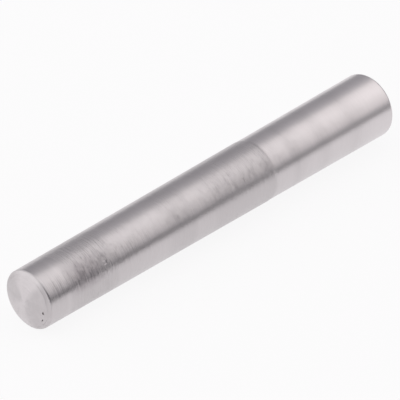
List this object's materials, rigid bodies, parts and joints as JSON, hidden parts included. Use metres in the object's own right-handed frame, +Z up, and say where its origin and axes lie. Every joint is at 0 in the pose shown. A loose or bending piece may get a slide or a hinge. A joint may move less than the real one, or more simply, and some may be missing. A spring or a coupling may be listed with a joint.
{
  "type": "taper pin",
  "caption": "Solid turned steel pin with a slight even taper and a domed crown at each end, driven into a matching reamed hole to lock or locate two parts.",
  "frame": {"origin": "centre of the shank's thin end, where the nominal diameter of a taper pin is read, on the pin's axis", "axes": "+X along the pin from its thin end to its thick end; +Z up, at right angles to the pin, which lies level; +Y completes the right-handed frame"},
  "size_m": [0.0412, 0.0058, 0.0058],
  "materials": {
    "bare_steel": "bare free-cutting steel as turned, satin, with fine tool rings round it and facing marks on its crowns"
  },
  "bodies": {
    "root": {"taper_pin": "bare_steel"}
  },
  "joints": []
}
